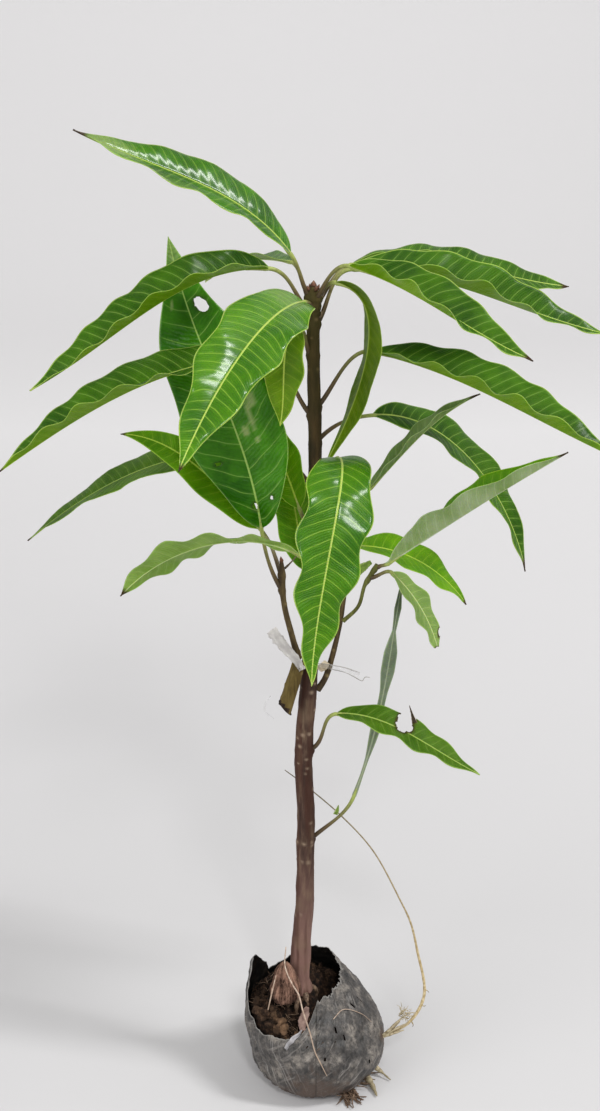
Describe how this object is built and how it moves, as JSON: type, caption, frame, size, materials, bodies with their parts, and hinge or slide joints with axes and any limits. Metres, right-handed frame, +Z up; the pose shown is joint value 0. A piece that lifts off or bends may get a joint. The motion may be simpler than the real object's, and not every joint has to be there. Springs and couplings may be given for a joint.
{
  "type": "mango tree sapling",
  "caption": "Grafted mango tree sapling with long arching leaves on one slim trunk, standing in its torn black nursery bag of soil.",
  "frame": {"origin": "centre of the nursery bag's flat underside, where it stands on the floor", "axes": "+X is the sapling's right and +Y its back as seen from the front, +Z is up along the trunk"},
  "size_m": [0.3849, 0.2467, 0.667],
  "materials": {
    "trunk_bark": "brown bark with a purple cast, pale warts and upright streaks, matt",
    "scion_bark": "dark brown young bark turning olive towards the tip, matt",
    "green_twig": "soft green young twig, matt",
    "leaf": "glossy deep green above with a pale midrib and veins, matt pale green underneath",
    "tape": "clear grafting tape gone cloudy",
    "dry_root": "dry straw coloured root, matt",
    "bag_film": "black film, crinkled, dusty and smeared with dried soil",
    "soil": "loose brown soil with fibres"
  },
  "bodies": {
    "root": {"rootstock": "trunk_bark", "main_stem": "scion_bark", "left_shoot": "scion_bark", "right_shoot": "scion_bark", "right_twig": "green_twig", "cut_stub": "scion_bark", "crown_leaf_high_left": "leaf", "crown_leaf_left": "leaf", "crown_leaf_back_left": "leaf", "crown_leaf_front": "leaf", "crown_leaf_front_right": "leaf", "crown_leaf_right": "leaf", "crown_leaf_back_right": "leaf", "crown_leaf_hanging": "leaf", "stem_leaf_hanging_left": "leaf", "stem_leaf_right_high": "leaf", "stem_leaf_left": "leaf", "stem_leaf_right_low": "leaf", "stem_leaf_front": "leaf", "stem_leaf_left_low": "leaf", "stem_leaf_left_under": "leaf", "stem_leaf_back_upper": "leaf", "stem_leaf_back_lower": "leaf", "left_shoot_leaf_tall": "leaf", "left_shoot_leaf_out": "leaf", "right_shoot_leaf_up": "leaf", "right_shoot_leaf_out": "leaf", "right_twig_leaf_long": "leaf", "right_twig_leaf_low": "leaf", "rootstock_leaf_torn": "leaf", "rootstock_leaf_narrow": "leaf", "grafting_tape_left": "tape", "grafting_tape_right": "tape", "dry_root": "dry_root", "nursery_bag": "bag_film", "root_ball": "soil"}
  },
  "joints": []
}
